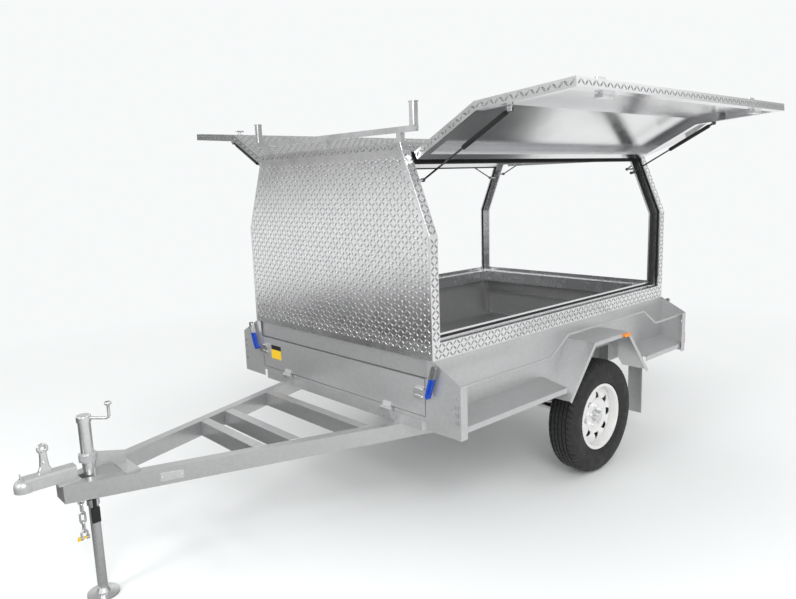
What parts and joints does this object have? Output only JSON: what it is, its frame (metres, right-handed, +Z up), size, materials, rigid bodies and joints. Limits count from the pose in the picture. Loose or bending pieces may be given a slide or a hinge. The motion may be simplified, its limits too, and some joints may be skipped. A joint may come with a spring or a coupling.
{
  "type": "tradesman trailer",
  "caption": "Single-axle galvanised box trailer with a tread-plate canopy, lift-up doors on gas struts, drop gates, roof bars and a jack.",
  "frame": {"origin": "on the ground, midway along and across the trailer with its doors raised", "axes": "+X forward to the coupling, +Y to the left side, +Z up"},
  "size_m": [4.5012, 2.8782, 2.0983],
  "materials": {
    "galvanised_steel": "hot-dip galvanised, faint spangle",
    "zinc_steel": "bright zinc plated",
    "dark_steel": "black painted spring steel",
    "tread_plate": "bright raised tread plate",
    "aluminium_trim": "plain mill finish",
    "black_rubber": "matt extruded seal",
    "tyre_rubber": "matt rubber",
    "white_paint": "gloss white enamel",
    "blue_plastic": "moulded grip",
    "black_paint": "satin black",
    "yellow_paint": "gloss",
    "black_plastic": "moulded",
    "chrome_rod": "polished rod",
    "amber_lens": "moulded lens",
    "red_lens": "moulded lens"
  },
  "bodies": {
    "trailer": {"axle": "galvanised_steel", "canopy_frame": "aluminium_trim", "canopy_front": "tread_plate", "canopy_roof": "tread_plate", "chain_lug": "galvanised_steel", "chassis_frame": "galvanised_steel", "corner_plates_front": "galvanised_steel", "corner_plates_rear": "galvanised_steel", "coupling": "galvanised_steel", "coupling_handle": "zinc_steel", "door_hinges": "zinc_steel", "door_seals": "black_rubber", "drawbar": "galvanised_steel", "gate_hinge_pins": "galvanised_steel", "jack_crank": "galvanised_steel", "jack_mount": "galvanised_steel", "jack_tube": "zinc_steel", "leaf_springs": "dark_steel", "mud_flaps": "galvanised_steel", "mudguard_left": "galvanised_steel", "mudguard_right": "galvanised_steel", "rear_lamps": "red_lens", "roof_rack_front": "aluminium_trim", "roof_rack_rear": "aluminium_trim", "rope_rails": "galvanised_steel", "safety_chain": "zinc_steel", "shackle": "zinc_steel", "shackle_pin": "yellow_paint", "side_markers": "amber_lens", "spring_clamps": "zinc_steel", "strut_studs": "zinc_steel", "trailer_plug": "black_plastic", "tub_floor": "galvanised_steel", "tub_headers": "galvanised_steel", "tub_side_left": "galvanised_steel", "tub_side_right": "galvanised_steel"},
    "wheel_left": {"tyre_left": "tyre_rubber", "rim_left": "white_paint", "hub_left": "zinc_steel"},
    "door_left": {"door_left": "tread_plate", "door_locks_left": "aluminium_trim"},
    "strut_tubes_left": {"strut_tubes_left": "black_paint"},
    "strut_rods_left": {"strut_rods_left": "chrome_rod"},
    "wheel_right": {"tyre_right": "tyre_rubber", "rim_right": "white_paint", "hub_right": "zinc_steel"},
    "door_right": {"door_right": "tread_plate", "door_locks_right": "aluminium_trim"},
    "strut_tubes_right": {"strut_tubes_right": "black_paint"},
    "strut_rods_right": {"strut_rods_right": "chrome_rod"},
    "door_rear": {"door_rear": "tread_plate"},
    "strut_tubes_rear": {"strut_tubes_rear": "black_paint"},
    "strut_rods_rear": {"strut_rods_rear": "chrome_rod"},
    "gate_front": {"gate_front": "galvanised_steel", "gate_latches_front": "zinc_steel", "gate_grips_front": "blue_plastic"},
    "gate_rear": {"gate_rear": "galvanised_steel", "gate_latches_rear": "zinc_steel", "gate_grips_rear": "blue_plastic"},
    "jack_leg": {"jack_leg": "zinc_steel"}
  },
  "joints": [
    {"name": "wheel_left_spin", "type": "hinge", "parent": "trailer", "child": "wheel_left", "pos_m": [-0.54794, 0.782, 0.326], "axis": [0, 1, 0], "continuous": true},
    {"name": "wheel_right_spin", "type": "hinge", "parent": "trailer", "child": "wheel_right", "pos_m": [-0.54794, -0.782, 0.326], "axis": [0, 1, 0], "continuous": true},
    {"name": "door_left_lift", "type": "hinge", "parent": "trailer", "child": "door_left", "pos_m": [-0.37294, 0.59873, 1.81857], "axis": [1, 0, 0], "range_deg": [-94.5, 0]},
    {"name": "strut_left_swing", "type": "hinge", "parent": "door_left", "child": "strut_tubes_left", "pos_m": [0.56206, 1.08913, 1.95473], "axis": [1, 0, 0], "range_deg": [-7.31, 0]},
    {"name": "strut_left_slide", "type": "slide", "parent": "strut_tubes_left", "child": "strut_rods_left", "axis": [0, -0.8842, -0.4671], "range_m": [-0.19, 0]},
    {"name": "door_right_lift", "type": "hinge", "parent": "trailer", "child": "door_right", "pos_m": [-0.37294, -0.59873, 1.81857], "axis": [1, 0, 0], "range_deg": [0, 94.5]},
    {"name": "strut_right_swing", "type": "hinge", "parent": "door_right", "child": "strut_tubes_right", "pos_m": [0.56206, -1.08913, 1.95473], "axis": [1, 0, 0], "range_deg": [0, 7.31]},
    {"name": "strut_right_slide", "type": "slide", "parent": "strut_tubes_right", "child": "strut_rods_right", "axis": [0, 0.8842, -0.4671], "range_m": [-0.19, 0]},
    {"name": "door_rear_lift", "type": "hinge", "parent": "trailer", "child": "door_rear", "pos_m": [-1.44694, 0, 1.812], "axis": [0, 1, 0], "range_deg": [-110, 0]},
    {"name": "strut_rear_swing", "type": "hinge", "parent": "door_rear", "child": "strut_tubes_rear", "pos_m": [-1.86179, 0.511, 1.90021], "axis": [0, 1, 0], "range_deg": [-1.34, 0]},
    {"name": "strut_rear_slide", "type": "slide", "parent": "strut_tubes_rear", "child": "strut_rods_rear", "axis": [0.931, 0, -0.3651], "range_m": [-0.1984, 0]},
    {"name": "gate_front_drop", "type": "hinge", "parent": "trailer", "child": "gate_front", "pos_m": [0.70406, 0, 0.603], "axis": [0, 1, 0], "range_deg": [0, 90]},
    {"name": "gate_rear_drop", "type": "hinge", "parent": "trailer", "child": "gate_rear", "pos_m": [-1.44994, 0, 0.603], "axis": [0, 1, 0], "range_deg": [-170, 0]},
    {"name": "jack_leg_slide", "type": "slide", "parent": "trailer", "child": "jack_leg", "axis": [0, 0, 1], "range_m": [0, 0.24]}
  ],
  "couplings": [
    {"joint": "strut_left_swing", "follows": "door_left_lift", "ratio": 0.06681},
    {"joint": "strut_left_slide", "follows": "door_left_lift", "m_per_rad": 0.11337},
    {"joint": "strut_right_swing", "follows": "door_right_lift", "ratio": 0.06681},
    {"joint": "strut_right_slide", "follows": "door_right_lift", "m_per_rad": -0.11337},
    {"joint": "strut_rear_swing", "follows": "door_rear_lift", "ratio": 0.00311},
    {"joint": "strut_rear_slide", "follows": "door_rear_lift", "m_per_rad": 0.10177}
  ]
}
